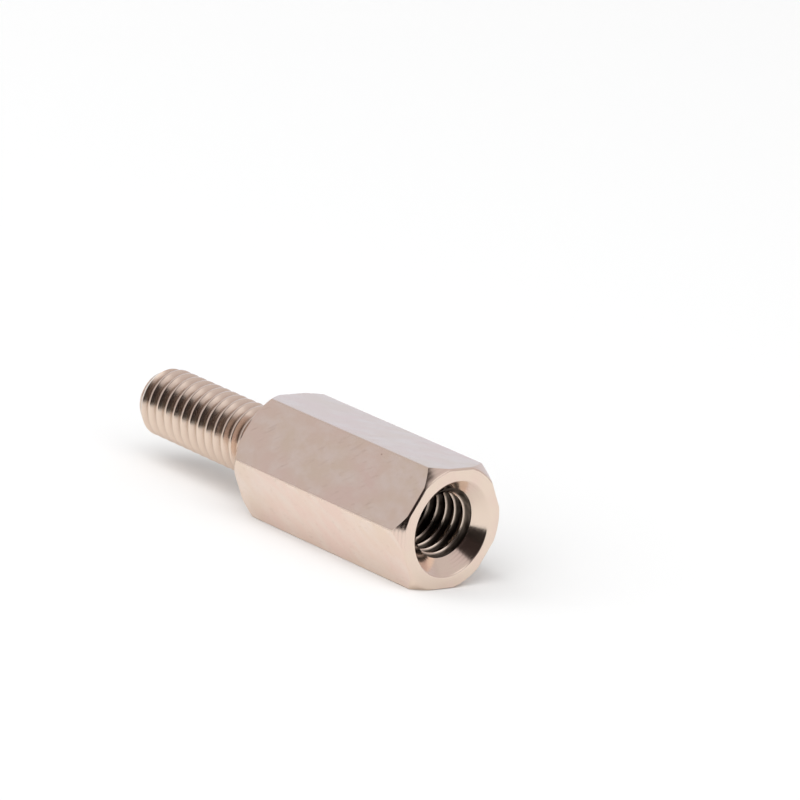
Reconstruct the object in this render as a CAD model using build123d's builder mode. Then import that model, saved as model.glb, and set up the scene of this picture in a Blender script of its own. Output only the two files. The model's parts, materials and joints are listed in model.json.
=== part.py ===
from build123d import *
import math
import os

# A male-female hex standoff, turned in one piece from hex bar. Sizes are in millimetres.
# It lies on one of its flats at Z = 0, with its axis along X and its tapped end at +X.

# Hex bar: made for a 5 mm spanner and drawn a little under it
across_flats = 4.9
body_length = 10.0
bar_edge_radius = 0.08

# Ends of the body: the sawn edges are broken, and a steep cone is turned over the bar's corners
end_edge_break = 0.1
corner_chamfer_width = 0.36
corner_chamfer_length = 0.43

# Thread size, shared by the stud and the hole
thread_diameter = 3.0
thread_pitch = 0.5

# Stud: its crests stay under the nominal diameter, and its tip is turned down to a flat face
stud_length = 7.5
crest_allowance = 0.13
tip_face_diameter = 2.2
tip_chamfer_length = 0.55

# Tapped hole: a blind tap drill hole with a drill point, opened by a wide countersink
hole_depth = 7.5
drill_point_angle = 118
countersink_diameter = 3.9
countersink_angle = 90

# Length by which a cut runs past the face it starts from
overrun = 0.5

# Places along the axis, with the whole part centred on X = 0
tapped_end = (body_length + stud_length) / 2
shoulder = tapped_end - body_length
stud_tip = shoulder - stud_length
axis_height = across_flats / 2

# Sizes that follow from the ones above
corner_radius = across_flats / math.sqrt(3)
end_circle_radius = corner_radius - corner_chamfer_width
cone_run = (corner_chamfer_width + overrun) * corner_chamfer_length / corner_chamfer_width
crest_radius = (thread_diameter - crest_allowance) / 2
tap_drill_radius = (thread_diameter - thread_pitch) / 2
countersink_radius = countersink_diameter / 2
countersink_slope = math.tan(math.radians(countersink_angle / 2))
countersink_depth = (countersink_radius - tap_drill_radius) / countersink_slope
drill_point_length = tap_drill_radius / math.tan(math.radians(drill_point_angle / 2))

# The turning axis, the plane of the half sections and the plane of the shoulder
turning_axis = Axis((0, 0, axis_height), (1, 0, 0))
section_plane = Plane((0, 0, axis_height), x_dir=(1, 0, 0), z_dir=(0, -1, 0))
shoulder_plane = Plane((shoulder, 0, axis_height), x_dir=(0, 1, 0), z_dir=(1, 0, 0))

with BuildPart() as hex_standoff:
    # Hex bar, with a flat below, broken edges at its ends and the slightly rounded edges of drawn bar
    with BuildSketch(shoulder_plane):
        RegularPolygon(radius=across_flats / 2, side_count=6, major_radius=False)
    extrude(amount=body_length)
    bar_edges = hex_standoff.edges().filter_by(Axis.X)
    fillet(bar_edges, radius=bar_edge_radius)
    end_faces = hex_standoff.faces().filter_by(Axis.X)
    fillet(end_faces.edges(), radius=end_edge_break)

    # Both ends turned: each cone cuts the corners and leaves an arc on every flat
    with BuildSketch(section_plane):
        with BuildLine():
            Polyline(
                (shoulder, 0),
                (shoulder, end_circle_radius),
                (shoulder + cone_run, corner_radius + overrun),
                (tapped_end - cone_run, corner_radius + overrun),
                (tapped_end, end_circle_radius),
                (tapped_end, 0),
                close=True,
            )
        make_face()
    revolve(axis=turning_axis, mode=Mode.INTERSECT)

    # Stud at the diameter of its thread crests, with its tip turned down to the flat face
    with BuildSketch(section_plane):
        with BuildLine():
            Polyline(
                (shoulder, 0),
                (shoulder, crest_radius),
                (stud_tip + tip_chamfer_length, crest_radius),
                (stud_tip, tip_face_diameter / 2),
                (stud_tip, 0),
                close=True,
            )
        make_face()
    revolve(axis=turning_axis)

    # Tapped hole at its tap drill size, from the countersink down to the drill point
    with BuildSketch(section_plane):
        with BuildLine():
            Polyline(
                (tapped_end + overrun, 0),
                (tapped_end + overrun, countersink_radius + overrun * countersink_slope),
                (tapped_end - countersink_depth, tap_drill_radius),
                (tapped_end - hole_depth, tap_drill_radius),
                (tapped_end - hole_depth - drill_point_length, 0),
                close=True,
            )
        make_face()
    revolve(axis=turning_axis, mode=Mode.SUBTRACT)

hex_standoff.part.label = "hex_standoff"

os.makedirs("parts", exist_ok=True)
export_step(hex_standoff.part, "parts/hex_standoff.step")
print("hex_standoff", round(hex_standoff.part.volume, 3), "mm3")
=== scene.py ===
# %% [markdown]
# # A hex standoff of nickel-plated brass
# A standoff holds two boards apart. This one is turned from hex bar: a body for a spanner, a threaded stud
# at one end and a tapped hole at the other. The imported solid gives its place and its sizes. It has no
# thread, so here the whole part is modelled again with one, and the new piece stands for the solid.

# %% Load the frame
import json
import math

import bpy
from mathutils import Matrix, Vector


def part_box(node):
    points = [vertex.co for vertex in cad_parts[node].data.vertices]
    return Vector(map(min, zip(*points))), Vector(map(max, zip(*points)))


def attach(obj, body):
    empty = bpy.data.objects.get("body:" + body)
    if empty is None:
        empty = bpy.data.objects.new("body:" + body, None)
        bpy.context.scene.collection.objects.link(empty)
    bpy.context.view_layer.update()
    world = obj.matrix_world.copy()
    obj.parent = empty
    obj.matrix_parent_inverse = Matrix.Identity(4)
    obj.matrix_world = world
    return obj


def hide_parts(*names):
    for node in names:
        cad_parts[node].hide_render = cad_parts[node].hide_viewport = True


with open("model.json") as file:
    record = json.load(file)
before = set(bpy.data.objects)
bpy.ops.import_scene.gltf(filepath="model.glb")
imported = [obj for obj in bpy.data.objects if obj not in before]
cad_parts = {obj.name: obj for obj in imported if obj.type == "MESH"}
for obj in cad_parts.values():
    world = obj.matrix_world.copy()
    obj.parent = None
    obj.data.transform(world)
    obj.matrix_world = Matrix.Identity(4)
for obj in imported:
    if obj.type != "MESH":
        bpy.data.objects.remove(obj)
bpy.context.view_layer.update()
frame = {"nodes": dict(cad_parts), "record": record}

bpy.context.scene.view_settings.view_transform = "Standard"
print("nodes", sorted(frame["nodes"]))

# %% [markdown]
# ## The camera
# The part is as long as a fingernail, so it was photographed from close by with a long lens. The camera
# stands to the right of the part and a little above it, and it is tipped a few degrees about its own line of
# sight. The numbers below were found by fitting the outline of the body and the rim of the hole.

# %% Set the camera
picture_width = 800
middle_across = 302.58
middle_down = 461.79
focal_pixels = 6000
sensor_width = 36
camera_azimuth = math.radians(45.03)
camera_elevation = math.radians(14.42)
camera_roll = math.radians(9.33)
camera_depth = 0.23665

node_low, node_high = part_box("hex_standoff")
part_middle = Vector((0, 0, (node_low.z + node_high.z) / 2))
picture_offset = Vector((picture_width / 2 - middle_across, middle_down - picture_width / 2))

towards_camera = Vector((
    math.sin(camera_azimuth) * math.cos(camera_elevation),
    -math.cos(camera_azimuth) * math.cos(camera_elevation),
    math.sin(camera_elevation),
))
level_right = Vector((math.cos(camera_azimuth), math.sin(camera_azimuth), 0))
level_up = towards_camera.cross(level_right)
camera_right = math.cos(camera_roll) * level_right + math.sin(camera_roll) * level_up
camera_up = math.cos(camera_roll) * level_up - math.sin(camera_roll) * level_right

pixel_size = camera_depth / focal_pixels
camera_place = part_middle + towards_camera * camera_depth
camera_place += camera_right * picture_offset.x * pixel_size
camera_place += camera_up * picture_offset.y * pixel_size
camera_turn = Matrix((camera_right, camera_up, towards_camera)).transposed()

bpy.ops.object.camera_add(location=camera_place, rotation=camera_turn.to_euler())
camera = bpy.context.object
camera.data.sensor_width = sensor_width
camera.data.lens = focal_pixels * sensor_width / picture_width
camera.data.clip_start = 0.01
bpy.context.scene.camera = camera
print("camera", [round(value, 4) for value in camera_place], "lens", camera.data.lens)

# %% [markdown]
# ## Sizes
# Everything hangs on a few sizes. Those that the solid has are read from the frame, so both stay alike. The
# part is so small that operators would merge points that are meant to be apart, so it is modelled at a
# thousand times its size, with one unit to the millimetre, and brought down when it is done.

# %% Read the sizes
millimetres = 1000
mounts = {mount["name"]: mount for mount in frame["record"]["mounts"]}

across_flats = (node_high.z - node_low.z) * millimetres
axis_height = part_middle.z * millimetres
stud_tip = node_low.x * millimetres
tapped_end = node_high.x * millimetres
shoulder = mounts["shoulder"]["pos_m"][0] * millimetres
crest_radius = mounts["stud"]["dims"]["r_mm"]
drill_radius = mounts["tapped_hole"]["dims"]["r_mm"]
hole_middle = mounts["tapped_hole"]["pos_m"][0] * millimetres
hole_floor = hole_middle - mounts["tapped_hole"]["dims"]["length_mm"] / 2
countersink_floor = hole_middle + mounts["tapped_hole"]["dims"]["length_mm"] / 2
corner_radius = across_flats / math.sqrt(3)
thread_radius = 1.5
pitch = 0.5
print("across flats", round(across_flats, 3), "shoulder", shoulder, "hole floor", hole_floor)

# %% [markdown]
# ## The hex bar
# The body starts as drawn hex bar. A cylinder with six sides is that bar at once. Tumbling rounds the edges
# of its sawn ends, and drawing leaves its long edges a little round, so each kind gets a narrow bevel. They
# are told apart by their direction.

# %% Make the bar
end_edge_break = 0.1
bar_edge_radius = 0.08
bar_edge_steps = 5
flat_turn = math.radians(60)
merge_distance = 0.0001


def begin_piece():
    """Selects nothing, so that the next operators act on the new piece alone."""
    if bpy.context.mode != "OBJECT":
        bpy.ops.object.mode_set(mode="OBJECT")
    bpy.ops.object.select_all(action="DESELECT")


def select_edges(piece, wanted):
    """Selects the edges of a piece whose two ends, as (x, y, z), meet the test."""
    bpy.ops.object.mode_set(mode="EDIT")
    bpy.ops.mesh.select_mode(type="EDGE")
    bpy.ops.mesh.select_all(action="DESELECT")
    bpy.ops.object.mode_set(mode="OBJECT")
    points = piece.data.vertices
    for edge in piece.data.edges:
        edge.select = wanted(points[edge.vertices[0]].co, points[edge.vertices[1]].co)
    bpy.ops.object.mode_set(mode="EDIT")


begin_piece()
bpy.ops.mesh.primitive_cylinder_add(
    vertices=6,
    radius=corner_radius - merge_distance,
    depth=tapped_end - shoulder,
    location=((tapped_end + shoulder) / 2, 0, axis_height),
    rotation=(0, math.pi / 2, 0),
)
standoff = bpy.context.object
standoff.name = "standoff"
bpy.ops.object.transform_apply(location=True, rotation=True, scale=True)
select_edges(standoff, lambda start, end: abs(start.x - end.x) < pitch)
bpy.ops.mesh.bevel(offset=end_edge_break, segments=bar_edge_steps, profile=0.5)
select_edges(standoff, lambda start, end: abs(start.x - end.x) > pitch)
bpy.ops.mesh.bevel(offset=bar_edge_radius * math.tan(flat_turn / 2), segments=bar_edge_steps, profile=0.5)
bpy.ops.object.mode_set(mode="OBJECT")
print("bar", len(standoff.data.polygons), "faces")

# %% [markdown]
# ## Turned ends
# On the lathe a tool set at about 40 degrees to the axis takes the sharp corners off both ends of the bar.
# Where that cone meets a flat it leaves a shallow arc, and six arcs meet in the corners. Drawing those arcs
# by hand is slow. It is easier to spin the shape that the tool leaves and to keep what bar and spun shape
# have in common. The helpers for spinning and cutting come first, because the hole and the stud need them.

# %% Get the helpers for spinning
lathe_steps = 192
edge_steps = 4


def draw_outline(name, corners):
    """Draws edges through corners given as (place along the axis, distance from the axis)."""
    begin_piece()
    bpy.ops.mesh.primitive_plane_add(size=1, location=(0, 0, axis_height))
    outline = bpy.context.object
    outline.name = name
    bpy.ops.object.mode_set(mode="EDIT")
    bpy.ops.mesh.select_mode(type="VERT")
    bpy.ops.mesh.merge(type="CENTER")
    bpy.ops.transform.translate(value=(corners[0][0], 0, corners[0][1]))
    for start, end in zip(corners, corners[1:]):
        step = (end[0] - start[0], 0, end[1] - start[1])
        bpy.ops.mesh.extrude_vertices_move(TRANSFORM_OT_translate={"value": step})
    bpy.ops.mesh.select_all(action="SELECT")
    return outline


def round_corner(outline, corner, reach):
    """Rounds one corner of an outline, as far along its edges as reach says."""
    bpy.ops.mesh.select_all(action="DESELECT")
    bpy.ops.object.mode_set(mode="OBJECT")
    for point in outline.data.vertices:
        point.select = math.dist((point.co.x, point.co.z), corner) < merge_distance
    bpy.ops.object.mode_set(mode="EDIT")
    bpy.ops.mesh.bevel(offset=reach, affect="VERTICES", segments=edge_steps, profile=0.5)
    bpy.ops.mesh.select_all(action="SELECT")


def close_up(piece):
    """Merges the points that meet, turns the faces outwards and puts the object at the origin."""
    bpy.ops.mesh.select_all(action="SELECT")
    bpy.ops.mesh.remove_doubles(threshold=merge_distance)
    bpy.ops.mesh.normals_make_consistent(inside=False)
    bpy.ops.object.mode_set(mode="OBJECT")
    bpy.ops.object.transform_apply(location=True, rotation=True, scale=True)
    return piece


def turn(name, corners, rounded=(), reach=0):
    """Spins an outline about the axis of the part, after some of its corners are rounded."""
    turned = draw_outline(name, corners)
    for corner in rounded:
        round_corner(turned, corner, reach)
    bpy.ops.mesh.spin(steps=lathe_steps, angle=math.tau, center=(0, 0, axis_height), axis=(1, 0, 0))
    return close_up(turned)


print("a step at the corners is", round(math.tau * corner_radius / lathe_steps, 3), "mm long")

# %% Get the helpers for cutting
def open_edges(piece):
    """Counts the edges that don't have a face on each side. A closed mesh has none."""
    beside = {}
    for polygon in piece.data.polygons:
        for key in polygon.edge_keys:
            beside[key] = beside.get(key, 0) + 1
    return sum(1 for count in beside.values() if count != 2)


def combine(piece, tool, operation):
    """Joins a tool to the piece, or cuts with it, and throws the tool away."""
    begin_piece()
    piece.select_set(True)
    bpy.context.view_layer.objects.active = piece
    cut = piece.modifiers.new(tool.name, "BOOLEAN")
    cut.operation = operation
    cut.object = tool
    cut.solver = "EXACT"
    bpy.ops.object.modifier_apply(modifier=cut.name)
    face_count = len(piece.data.polygons)
    print(operation.lower(), tool.name, "leaves", face_count, "faces,", open_edges(piece), "open edges")
    bpy.data.objects.remove(tool)


print("bar with", open_edges(standoff), "open edges")

# %% Turn the ends
corner_chamfer_width = 0.36
corner_chamfer_length = 0.43
overrun = 0.4
edge_break = 0.05
end_circle_radius = corner_radius - corner_chamfer_width
blank_radius = corner_radius + overrun
cone_run = (blank_radius - end_circle_radius) * corner_chamfer_length / corner_chamfer_width
blank_ends = [(shoulder, end_circle_radius), (tapped_end, end_circle_radius)]
blank = turn("blank", [
    (shoulder, 0),
    blank_ends[0],
    (shoulder + cone_run, blank_radius),
    (tapped_end - cone_run, blank_radius),
    blank_ends[1],
    (tapped_end, 0),
], blank_ends, edge_break)
combine(standoff, blank, "INTERSECT")

# %% [markdown]
# ## The drilled hole
# The hole is drilled from the end face and stops in the body, at the cone that the drill's point leaves. A
# wide 90 degree countersink then opens its mouth. Both are one spun tool. The edges that the tool leaves on
# the end face are sharp enough to cut a finger, so they get a bevel of a few hundredths of a millimetre.

# %% Drill the hole
drill_point_angle = math.radians(118)
drill_point_length = drill_radius / math.tan(drill_point_angle / 2)
countersink_radius = drill_radius + tapped_end - countersink_floor
proud = 0.001
rim = (tapped_end + proud, countersink_radius + proud)
drill = turn("drill", [
    (tapped_end + overrun, 0),
    (tapped_end + overrun, countersink_radius + overrun),
    (tapped_end + proud, countersink_radius + overrun),
    rim,
    (countersink_floor, drill_radius),
    (hole_floor, drill_radius),
    (hole_floor - drill_point_length, 0),
], [rim], edge_break)
combine(standoff, drill, "DIFFERENCE")

# %% [markdown]
# ## The thread in the hole
# A tap cuts the thread: a 60 degree groove that climbs half a millimetre in each turn. The Screw modifier
# winds one tooth of the tap round the axis in the same way. The teeth are wound longer than needed, cut flat
# at both ends with bisect, tapered like a real tap's lead, and then taken out of the body.

# %% Get the helper for threads
thread_steps = 96
tooth_steps = 3
spare_turns = 2
flank_run = math.tan(math.radians(30))


def wind_thread(name, root, crest, crest_width, rounding, start, end, shift=0):
    """Winds a right-hand thread with 60 degree flanks from start to end along the axis."""
    flank = (crest - root) * flank_run
    root_half = (pitch - crest_width) / 2 - flank
    tooth = [(0, root), (root_half, root), (root_half + flank, crest)]
    tooth += [(pitch - x, radius) for x, radius in reversed(tooth)]
    first = start - spare_turns * pitch + shift
    thread = draw_outline(name, [(first + x, radius) for x, radius in tooth])
    bpy.ops.mesh.bevel(offset=rounding, affect="VERTICES", segments=tooth_steps)
    bpy.ops.object.mode_set(mode="OBJECT")
    screw = thread.modifiers.new("Screw", "SCREW")
    screw.axis = "X"
    screw.screw_offset = pitch
    screw.iterations = math.ceil((end - start) / pitch) + 2 * spare_turns
    screw.steps = thread_steps
    screw.render_steps = thread_steps
    bpy.ops.object.modifier_apply(modifier=screw.name)
    bpy.ops.object.mode_set(mode="EDIT")
    bpy.ops.mesh.select_all(action="SELECT")
    bpy.ops.mesh.remove_doubles(threshold=merge_distance)
    for place, side in ((start, "inner"), (end, "outer")):
        bpy.ops.mesh.select_all(action="SELECT")
        bpy.ops.mesh.bisect(
            plane_co=(place, 0, axis_height),
            plane_no=(1, 0, 0),
            use_fill=True,
            clear_inner=side == "inner",
            clear_outer=side == "outer",
            threshold=merge_distance / 10,
        )
    return close_up(thread)


print("a step on the thread is", round(math.tau * thread_radius / thread_steps, 3), "mm long")

# %% Tap the hole
tap_oversize = 0.03
tap_sink = 0.05
tap_radius = thread_radius + tap_oversize
tap_root = drill_radius - tap_sink
tap_crest_width = pitch / 8
tap_round = 0.015
tap_shift = 0.29
tap_end = hole_floor + 2 * pitch
lead_length = 2 * pitch
lead_radius = drill_radius - 0.2
sleeve_radius = thread_radius + overrun
sleeve_end = tapped_end + 2 * overrun

tap = wind_thread(
    "tap", tap_root, tap_radius, tap_crest_width, tap_round, tap_end, tapped_end + overrun, tap_shift
)
lead = turn("lead", [
    (tap_end - overrun, 0),
    (tap_end - overrun, lead_radius),
    (tap_end + lead_length, sleeve_radius),
    (sleeve_end, sleeve_radius),
    (sleeve_end, 0),
])
combine(tap, lead, "INTERSECT")
combine(standoff, tap, "DIFFERENCE")

# %% [markdown]
# ## The stud
# A die cuts the thread on the stud. Its crests stay a little under the nominal size, and tumbling wears them
# round. At the tip a turned cone lets the thread start, and at the shoulder the die can't reach the last
# turn, so the groove runs out in a slope. A cone adds that slope before the stud is joined to the body.

# %% Wind the stud
thread_depth = 0.6134 * pitch
thread_root = thread_radius - thread_depth
crest_width = 0.15 * pitch
crest_round = 0.028
buried = shoulder + overrun
stud = wind_thread("stud", thread_root, crest_radius, crest_width, crest_round, stud_tip - overrun, buried)
print("stud", len(stud.data.polygons), "faces")

# %% Turn its tip
tip_face_radius = 1.1
tip_chamfer_length = 0.55
tip_slope = (crest_radius - tip_face_radius) / tip_chamfer_length
tip_reach = crest_radius + overrun / 2
tip_edge = (stud_tip, tip_face_radius)
tip = turn("tip", [
    (stud_tip, 0),
    tip_edge,
    (stud_tip + (tip_reach - tip_face_radius) / tip_slope, tip_reach),
    (buried + overrun, tip_reach),
    (buried + overrun, 0),
], [tip_edge], edge_break)
combine(stud, tip, "INTERSECT")

# %% Add the run-out
runout_start = shoulder - 1.6 * pitch
runout_end = buried - 0.1
runout_sink = 0.03
runout = turn("runout", [
    (runout_start, 0),
    (runout_start, thread_root - runout_sink),
    (shoulder, crest_radius - runout_sink),
    (runout_end, crest_radius - runout_sink),
    (runout_end, 0),
])
combine(stud, runout, "UNION")
combine(standoff, stud, "UNION")

# %% [markdown]
# ## The mark on the tip
# Where the bar was held or parted off, the tip keeps a small dent a little off its centre. It is a spun cone,
# moved to its place and taken out of the face.

# %% Dent the tip
dent_radius = 0.1
dent_depth = 0.13
dent_place = (0, 0.05, 0.04)
dent = turn("dent", [
    (stud_tip - overrun, 0),
    (stud_tip - overrun, dent_radius + overrun * dent_radius / dent_depth),
    (stud_tip + dent_depth, 0),
])
begin_piece()
dent.select_set(True)
bpy.context.view_layer.objects.active = dent
bpy.ops.transform.translate(value=dent_place)
bpy.ops.object.transform_apply(location=True, rotation=False, scale=False)
combine(standoff, dent, "DIFFERENCE")

# %% [markdown]
# ## Down to size
# The finished mesh is scaled to metres and its faces are shaded smooth up to 30 degrees, so that thread and
# cones look round and the edges stay crisp. Weighted normals then let large faces win over small ones, which
# keeps the flats flat up to their rounded edges. A closed mesh has exactly two faces at every edge, which is
# counted here.

# %% Scale and check
smooth_angle = math.radians(30)
begin_piece()
standoff.select_set(True)
bpy.context.view_layer.objects.active = standoff
bpy.ops.object.mode_set(mode="EDIT")
bpy.ops.mesh.select_all(action="SELECT")
bpy.ops.mesh.remove_doubles(threshold=merge_distance)
bpy.ops.object.mode_set(mode="OBJECT")
bpy.ops.transform.resize(value=(1 / millimetres,) * 3, center_override=(0, 0, 0))
bpy.ops.object.transform_apply(location=True, rotation=True, scale=True)
bpy.ops.object.shade_smooth_by_angle(angle=smooth_angle)
weighted = standoff.modifiers.new("Weighted Normal", "WEIGHTED_NORMAL")
weighted.keep_sharp = True
bpy.ops.object.modifier_apply(modifier=weighted.name)

triangles = sum(len(polygon.vertices) - 2 for polygon in standoff.data.polygons)
print("standoff", triangles, "triangles,", open_edges(standoff), "open edges")

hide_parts("hex_standoff")
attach(standoff, "root")

# %% [markdown]
# ## Nickel plate
# The brass is plated with a thin layer of nickel, a warm grey mirror that takes its tones from what stands
# around it. Plate follows the surface under it, so the part has four finishes: drawn flats, turned faces, a
# thread cut by a die and a thread cut by a tap. Four materials share one nickel colour and differ in their
# marks. Every mark has a real size in millimetres, and a Mapping node counts the surface in such marks.
# Map Range and Mix have inputs of the same name, so theirs go by number. In Map Range 0 is the value, 1 and 2
# are the range it comes from, 3 and 4 the range it goes to. In Mix 0 is the share, 6 and 7 are the colours.

# %% Get the helpers for materials
one_millimetre = (1, 1, 1)
axis_place = (0, 0, axis_height / millimetres)


def linear(hex_colour):
    """Turns an sRGB colour such as #AABBCC into the linear numbers that Blender uses."""
    channels = [int(hex_colour[i:i + 2], 16) / 255 for i in (1, 3, 5)]
    return [c / 12.92 if c <= 0.04045 else ((c + 0.055) / 1.055) ** 2.4 for c in channels] + [1]


def new_tree(material):
    """Empties the nodes of a material or a world."""
    material.use_nodes = True
    material.node_tree.nodes.clear()
    return material.node_tree


def add_node(tree, kind, inputs, **settings):
    """Adds a node with its settings. An input is a value, or a socket or a node to link from."""
    node = tree.nodes.new("ShaderNode" + kind)
    for name, value in settings.items():
        setattr(node, name, value)
    for socket, value in inputs.items():
        if isinstance(value, bpy.types.Node):
            value = next(output for output in value.outputs if output.enabled)
        if isinstance(value, bpy.types.NodeSocket):
            tree.links.new(value, node.inputs[socket])
        else:
            node.inputs[socket].default_value = value
    return node


def marks_of(tree, sizes, place=(0, 0, 0), turned_by=(0, 0, 0)):
    """Object coordinates counted in marks of the given sizes in millimetres, from a place in metres."""
    spot = add_node(tree, "TexCoord", {}).outputs["Object"]
    scale = [size / millimetres for size in sizes]
    fitted = {"Vector": spot, "Location": place, "Rotation": turned_by, "Scale": scale}
    return add_node(tree, "Mapping", fitted, vector_type="TEXTURE")


def distance_from_axis(tree):
    """The distance from the axis of the part in millimetres."""
    spot = marks_of(tree, one_millimetre, axis_place)
    across = add_node(tree, "VectorMath", {0: spot, 1: (0, 1, 1)}, operation="MULTIPLY")
    return add_node(tree, "VectorMath", {0: across}, operation="LENGTH")


nickel = linear("#E5D2C2")
print("nickel", [round(channel, 3) for channel in nickel[:3]])

# %% [markdown]
# ## Drawn flats
# Bar is pulled through a die that leaves faint lines along it. The plate over them is bright, with pale
# smudges of handling, slanting scuffs from a tray full of parts, a few pits where dirt kept the nickel off,
# and a duller strip where the corners rub. Die lines are really about 0.02 mm apart. They are drawn at
# 0.12 mm, so that they show.

# %% Lay out the marks of the flats
die_line = (7, 0.12, 0.12)
smudge_size = (1.5, 0.6, 0.6)
smudge_turn = (0.3, 0.5, 0.6)
cloud_size = (3.2, 2.2, 2.2)
scuff_size = (0.7, 0.17, 0.17)
scuff_turn = (0, math.radians(-35), math.radians(24))
scuff_strength = 0.32
pit_spacing = (1.4, 1.4, 1.4)
pit_core = 0.015
pit_edge = 0.035
rub_start = 2.795
rub_end = corner_radius - 0.02

drawn_plate = bpy.data.materials.new("nickel_over_drawn_brass")
tree = new_tree(drawn_plate)
lines = add_node(tree, "TexNoise", {"Vector": marks_of(tree, die_line), "Scale": 1, "Detail": 3})
smudge_marks = marks_of(tree, smudge_size, turned_by=smudge_turn)
smudges = add_node(tree, "TexNoise", {"Vector": smudge_marks, "Scale": 1, "Detail": 4})
clouds = add_node(tree, "TexNoise", {"Vector": marks_of(tree, cloud_size), "Scale": 1, "Detail": 2})
scuff_marks = marks_of(tree, scuff_size, turned_by=scuff_turn)
scuffs = add_node(tree, "TexNoise", {"Vector": scuff_marks, "Scale": 1, "Detail": 2})
pits = add_node(tree, "TexVoronoi", {"Vector": marks_of(tree, pit_spacing), "Scale": 1})

smudge = add_node(tree, "MapRange", {0: smudges, 1: 0.42, 2: 0.68})
cloud = add_node(tree, "MapRange", {0: clouds, 1: 0.35, 2: 0.65})
scuff = add_node(tree, "MapRange", {0: scuffs, 1: 0.61, 2: 0.78, 3: 0, 4: scuff_strength})
pit = add_node(tree, "MapRange", {0: pits, 1: pit_core, 2: pit_edge, 3: 1, 4: 0})
corner = add_node(tree, "MapRange", {0: distance_from_axis(tree), 1: rub_start, 2: rub_end})
rub = add_node(tree, "Math", {0: corner, 1: smudges}, operation="MULTIPLY")
print("corners rub from", rub_start, "to", round(rub_end, 3), "mm off the axis")

# %% Mix the drawn plate
flat_rough = (0.11, 0.2)
rub_rough = 0.3
scuff_rough = 0.2
line_depth = 0.0006 / millimetres
pit_depth = 0.003 / millimetres

colour = linear("#E4D2C0")
for share, tint in (
    (cloud, "#E7D0C4"),
    (smudge, "#E9D9CD"),
    (scuff, "#CBB3A3"),
    (rub, "#E0CCBC"),
    (pit, "#AB9383"),
):
    colour = add_node(tree, "Mix", {0: share, 6: colour, 7: linear(tint)}, data_type="RGBA")
rough = add_node(tree, "MapRange", {0: smudges, 1: 0.3, 2: 0.7, 3: flat_rough[0], 4: flat_rough[1]})
rough = add_node(tree, "Math", {0: rub, 1: rub_rough, 2: rough}, operation="MULTIPLY_ADD")
rough = add_node(tree, "Math", {0: scuff, 1: scuff_rough, 2: rough}, operation="MULTIPLY_ADD")
drawn = add_node(tree, "Bump", {"Strength": 0.5, "Distance": line_depth, "Height": lines})
pitted = add_node(
    tree, "Bump", {"Strength": 0.6, "Distance": pit_depth, "Height": pit, "Normal": drawn}, invert=True
)
shader = add_node(tree, "BsdfPrincipled", {
    "Base Color": colour, "Metallic": 1, "Roughness": rough, "Normal": pitted,
})
add_node(tree, "OutputMaterial", {"Surface": shader})
print(drawn_plate.name, "with", len(tree.nodes), "nodes")

# %% [markdown]
# ## Turned faces
# The tool of a lathe leaves a very fine groove that runs round the axis, on the end faces as rings and on the
# cones as well. It makes the reflection a little soft. The Wave texture has rings round an axis. The real
# feed is about 0.03 mm for each turn. The rings are drawn 0.1 mm apart, so that they show.

# %% Mix the turned plate
feed = 0.1
wave_turn = 20
stain_size = (1.1, 1.1, 1.1)
ring_strength = 0.35
ring_rough = (0.13, 0.24)
ring_depth = 0.0014 / millimetres

turned_plate = bpy.data.materials.new("nickel_over_turned_brass")
tree = new_tree(turned_plate)
rings = add_node(
    tree,
    "TexWave",
    {
        "Vector": marks_of(tree, one_millimetre, axis_place),
        "Scale": math.tau / wave_turn / feed,
        "Distortion": 1.2,
        "Detail": 2,
        "Detail Scale": 0.8,
    },
    wave_type="RINGS",
    rings_direction="X",
)
stains = add_node(tree, "TexNoise", {"Vector": marks_of(tree, stain_size), "Scale": 1, "Detail": 4})
stain = add_node(tree, "MapRange", {0: stains, 1: 0.4, 2: 0.7})
worn_rings = add_node(tree, "Math", {0: rings.outputs["Fac"], 1: stains}, operation="MULTIPLY")
ring = add_node(tree, "MapRange", {0: worn_rings, 1: 0.35, 2: 0.7, 3: 0, 4: ring_strength})
colour = nickel
for share, tint in ((stain, "#E6CEC2"), (ring, "#D2BAA9")):
    colour = add_node(tree, "Mix", {0: share, 6: colour, 7: linear(tint)}, data_type="RGBA")
rough = add_node(tree, "MapRange", {0: worn_rings, 3: ring_rough[0], 4: ring_rough[1]})
turned = add_node(tree, "Bump", {"Strength": 0.5, "Distance": ring_depth, "Height": worn_rings})
shader = add_node(tree, "BsdfPrincipled", {
    "Base Color": colour, "Metallic": 1, "Roughness": rough, "Normal": turned,
})
add_node(tree, "OutputMaterial", {"Surface": shader})
print(turned_plate.name, "with", len(tree.nodes), "nodes")

# %% [markdown]
# ## Cut threads
# A cutting edge tears brass a little, so a thread is duller than a turned face. The crests get polished when
# parts tumble together. The roots stay dull, and in the hole they get a near-black painted shade.
# The distance from the axis tells root from crest. On the stud crests lie outside, in the hole they lie
# inside. Deeper in the hole painted shade darkens the whole thread, and the crests go dark with the roots.

# %% Get the helper for thread plate
tear_size = (0.08, 0.5, 0.5)
tear_depth = 0.002 / millimetres


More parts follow.
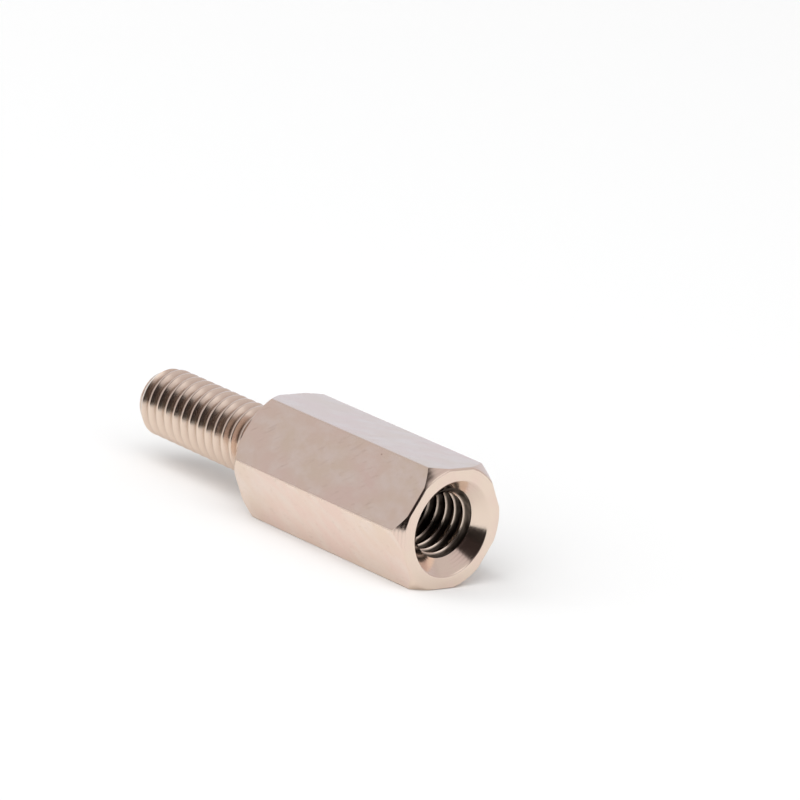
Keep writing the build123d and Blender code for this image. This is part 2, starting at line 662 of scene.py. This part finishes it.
def thread_plate(name, crest, root, dull_root_and_shade_colour, crest_rough, root_rough, shade_run):
    """Nickel over a cut thread, from crest to root and along a run of painted shade, in millimetres."""
    plate = bpy.data.materials.new(name)
    tree = new_tree(plate)
    depth = add_node(
        tree, "MapRange", {0: distance_from_axis(tree), 1: crest, 2: root}, interpolation_type="SMOOTHSTEP"
    )
    tears = add_node(tree, "TexNoise", {"Vector": marks_of(tree, tear_size), "Scale": 1, "Detail": 3})
    dull_and_shade = add_node(tree, "MapRange", {0: tears, 1: 0.3, 2: 0.7, 3: 0.85, 4: 1})
    dull_and_shade = add_node(tree, "Math", {0: dull_and_shade, 1: depth}, operation="MULTIPLY")
    along = add_node(tree, "SeparateXYZ", {0: marks_of(tree, one_millimetre)})
    # Painted shade: along this run the colour darkens towards the root colour, crests as well, deeper in the
    # hole.
    deep_shade = add_node(tree, "MapRange", {0: along, 1: shade_run[0], 2: shade_run[1]})
    dull_and_shade = add_node(tree, "Math", {0: dull_and_shade, 1: deep_shade}, operation="MAXIMUM")
    colour = add_node(tree, "Mix", {0: dull_and_shade, 6: nickel, 7: linear(dull_root_and_shade_colour)}, data_type="RGBA")
    rough = add_node(tree, "MapRange", {0: dull_and_shade, 3: crest_rough, 4: root_rough})
    torn = add_node(tree, "Bump", {"Strength": 0.5, "Distance": tear_depth, "Height": tears})
    shader = add_node(tree, "BsdfPrincipled", {
        "Base Color": colour, "Metallic": 1, "Roughness": rough, "Normal": torn,
    })
    add_node(tree, "OutputMaterial", {"Surface": shader})
    print(name, "with", len(tree.nodes), "nodes")
    return plate


print("tears drawn", tear_size[0], "mm wide")

# %% Mix the plate of the threads
polished_depth = 0.02
dark_depth = 0.1
# Painted shade darkens the thread in the hole from here deeper in.
hole_shade_start = 7.2
hole_shade_end = 4.6

stud_plate = thread_plate(
    "nickel_over_die_cut_brass",
    crest=crest_radius - polished_depth,
    root=thread_root,
    dull_root_and_shade_colour="#D3BDAC",
    crest_rough=0.2,
    root_rough=0.26,
    shade_run=(shoulder, tapped_end),
)
# In the hole the near-black root colour and the darkening deeper in are painted shade.
hole_plate = thread_plate(
    "thin_nickel_in_tapped_brass",
    crest=drill_radius,
    root=drill_radius + dark_depth,
    dull_root_and_shade_colour="#2B221B",
    crest_rough=0.16,
    root_rough=0.4,
    shade_run=(hole_shade_start, hole_shade_end),
)

# %% [markdown]
# ## Each finish in its place
# One mesh can carry several materials, and each face says which of them it wears. The faces are found by
# where they lie and where they point: flats look sideways, far from the axis, and threads lie close round it.
# The cones at the tip and at the mouth of the hole are turned, so they are left out by their slopes.

# %% Find the faces of each finish
tip_face_depth = 0.06
tip_normal = -math.sin(math.atan(tip_slope))
countersink_normal = math.sqrt(0.5)
flat_spread = 0.01
tip_spread = 0.03
countersink_spread = 0.02


def on_flat(x, radius, normal):
    return radius > drill_radius + overrun and abs(normal.x) < flat_spread


def on_stud(x, radius, normal):
    on_tip = x < stud_tip + tip_chamfer_length and abs(normal.x - tip_normal) < tip_spread
    return stud_tip + tip_face_depth < x < shoulder and radius < crest_radius + merge_distance and not on_tip


def in_hole(x, radius, normal):
    on_countersink = abs(normal.x - countersink_normal) <= countersink_spread
    return x > shoulder + overrun and radius < tap_radius and not on_countersink


print("the tip's cone points", round(tip_normal, 3), "along X")

# %% Put the plates on
def wear(piece, slot, wanted):
    """Gives a material slot to the faces whose middle in millimetres and normal meet the test."""
    begin_piece()
    piece.select_set(True)
    bpy.context.view_layer.objects.active = piece
    bpy.ops.object.mode_set(mode="EDIT")
    bpy.ops.mesh.select_mode(type="FACE")
    bpy.ops.mesh.select_all(action="DESELECT")
    bpy.ops.object.mode_set(mode="OBJECT")
    for polygon in piece.data.polygons:
        middle = polygon.center * millimetres - Vector((0, 0, axis_height))
        polygon.select = wanted(middle.x, math.hypot(middle.y, middle.z), polygon.normal)
    bpy.ops.object.mode_set(mode="EDIT")
    piece.active_material_index = slot
    bpy.ops.object.material_slot_assign()
    bpy.ops.object.mode_set(mode="OBJECT")
    print(piece.material_slots[slot].name, "on", sum(face.select for face in piece.data.polygons), "faces")


standoff.data.materials.clear()
for plate in (turned_plate, drawn_plate, stud_plate, hole_plate):
    standoff.data.materials.append(plate)
for slot, wanted in ((1, on_flat), (2, on_stud), (3, in_hole)):
    wear(standoff, slot, wanted)

# %% [markdown]
# ## Floor and light
# The part lies on white paper, which has no shine and keeps the part's shadow. Two large soft lamps light it,
# one on the left of the camera and one close beside it. They are so wide that the shadow has no hard edge.
# The metal doesn't mirror them, because it has a tent of its own to look at.

# %% Lay the floor
floor_size = 4
floor_drop = 0.00001
begin_piece()
bpy.ops.mesh.primitive_plane_add(size=floor_size, location=(0, 0, -floor_drop))
floor = bpy.context.object
floor.name = "floor"
bpy.ops.object.transform_apply(location=True, rotation=True, scale=True)
white_paper = bpy.data.materials.new("white_paper")
tree = new_tree(white_paper)
shader = add_node(tree, "BsdfPrincipled", {
    "Base Color": linear("#FCFCFC"), "Roughness": 1, "Specular IOR Level": 0,
})
add_node(tree, "OutputMaterial", {"Surface": shader})
floor.data.materials.append(white_paper)
print("floor", floor_size, "m wide")

# %% Hang the lamps
lamp_size = 2.2
lamp_distance = 1.6
lamp_elevation = math.radians(42)
lamps = ((-45, 23), (5, 15))
for degrees_from_camera, watts in lamps:
    lamp_azimuth = camera_azimuth + math.radians(degrees_from_camera)
    spot = Vector((
        math.sin(lamp_azimuth) * math.cos(lamp_elevation),
        -math.cos(lamp_azimuth) * math.cos(lamp_elevation),
        math.sin(lamp_elevation),
    ))
    bpy.ops.object.light_add(
        type="AREA", location=spot * lamp_distance, rotation=spot.to_track_quat("Z", "Y").to_euler()
    )
    lamp = bpy.context.object
    lamp.data.size = lamp_size
    lamp.data.energy = watts
    lamp.visible_glossy = False
    print("lamp of", watts, "W at", [round(value, 2) for value in lamp.location])

# %% [markdown]
# ## What the metal sees
# Metal shows its surroundings more than itself. In the studio those are a tent of pale cloth, a cooler
# backdrop behind the part, the dark opening that the camera looks through, a pale screen on its right, a dark
# gap over the screen and a bright pane at its foot. They are one dome that only reflections see. Each is a
# round spot on the dome, mixed in by the angle to its middle. A low black card stands on the paper in front
# of the part. It is seen in the same way, and it ends the pale paper that the metal mirrors.

# %% Pitch the tent
tent_radius = 0.6
tent_foot = -0.0001


def only_reflected(piece):
    """Keeps a piece of the studio out of the picture, of the shadows and of the light on the floor."""
    piece.visible_camera = False
    piece.visible_diffuse = False
    piece.visible_shadow = False


begin_piece()
bpy.ops.mesh.primitive_uv_sphere_add(segments=64, ring_count=32, radius=tent_radius)
tent = bpy.context.object
tent.name = "tent"
bpy.ops.object.mode_set(mode="EDIT")
bpy.ops.mesh.select_all(action="SELECT")
bpy.ops.mesh.bisect(plane_co=(0, 0, tent_foot), plane_no=(0, 0, 1), clear_inner=True)
bpy.ops.object.mode_set(mode="OBJECT")
only_reflected(tent)
print("tent of radius", tent_radius, "m")

# %% Light its cloth
backdrop_side = Vector((-towards_camera.x, -towards_camera.y, towards_camera.z))
screen_side = Vector((0.557, 0.321, 0.766))
gap_side = Vector((0.40, -0.15, 0.904))
pane_side = Vector((0.80, 0.30, 0.52))
dome_spots = (
    (backdrop_side, 55, 33, "#E5EAF6", 1),
    (towards_camera, 65, 35, "#352E2D", 1),
    (screen_side, 33, 29, "#DDD8DA", 1),
    (gap_side, 14, 9, "#3F3836", 1),
    (pane_side, 16, 8, "#FBFCFF", 1.3),
)


def spot_on_dome(tree, direction, middle, edge, core):
    """Rises from 0 at the edge of a round spot to 1 in its core, both angles in degrees from its middle."""
    near = add_node(tree, "VectorMath", {0: direction, 1: middle}, operation="DOT_PRODUCT")
    edge_cosine = math.cos(math.radians(edge))
    core_cosine = math.cos(math.radians(core))
    return add_node(tree, "MapRange", {0: near, 1: edge_cosine, 2: core_cosine})


tent_cloth = bpy.data.materials.new("tent_cloth")
tree = new_tree(tent_cloth)
place = add_node(tree, "TexCoord", {}).outputs["Object"]
direction = add_node(tree, "VectorMath", {0: place}, operation="NORMALIZE")
tone = linear("#D7D2D4")
for middle, edge, core, tint, brightness in dome_spots:
    share = spot_on_dome(tree, direction, middle, edge, core)
    spot_tone = [channel * brightness for channel in linear(tint)[:3]] + [1]
    tone = add_node(tree, "Mix", {0: share, 6: tone, 7: spot_tone}, data_type="RGBA")
glow = add_node(tree, "Emission", {"Color": tone, "Strength": 1})
add_node(tree, "OutputMaterial", {"Surface": glow})
tent.data.materials.append(tent_cloth)
print("tent with", len(dome_spots), "spots")

# %% Stand the card
card_distance = 0.02
card_width = 0.08
card_height = 0.006

begin_piece()
bpy.ops.mesh.primitive_plane_add(size=1, rotation=(math.pi / 2, 0, camera_azimuth))
card = bpy.context.object
card.name = "card"
card.scale = (card_width, card_height, 1)
card.location = Vector((math.sin(camera_azimuth), -math.cos(camera_azimuth), 0)) * card_distance
card.location.z = card_height / 2
bpy.ops.object.transform_apply(location=True, rotation=True, scale=True)
only_reflected(card)

black_card = bpy.data.materials.new("black_card")
tree = new_tree(black_card)
shader = add_node(tree, "BsdfPrincipled", {
    "Base Color": linear("#302B2A"), "Roughness": 1, "Specular IOR Level": 0,
})
add_node(tree, "OutputMaterial", {"Surface": shader})
card.data.materials.append(black_card)
print("card", card_distance, "m in front of the part")

# %% Light the room
room_level = 0.43
world = bpy.data.worlds.new("studio")
bpy.context.scene.world = world
tree = new_tree(world)
ray = add_node(tree, "LightPath", {})
seen = ray.outputs["Is Camera Ray"]
for kind in ("Is Glossy Ray", "Is Transmission Ray"):
    seen = add_node(tree, "Math", {0: seen, 1: ray.outputs[kind]}, operation="MAXIMUM")
level = add_node(tree, "MapRange", {0: seen, 3: room_level, 4: 1})
air = add_node(tree, "Background", {"Color": linear("#FFFFFF"), "Strength": level})
add_node(tree, "OutputWorld", {"Surface": air})
print("room lit at", room_level)
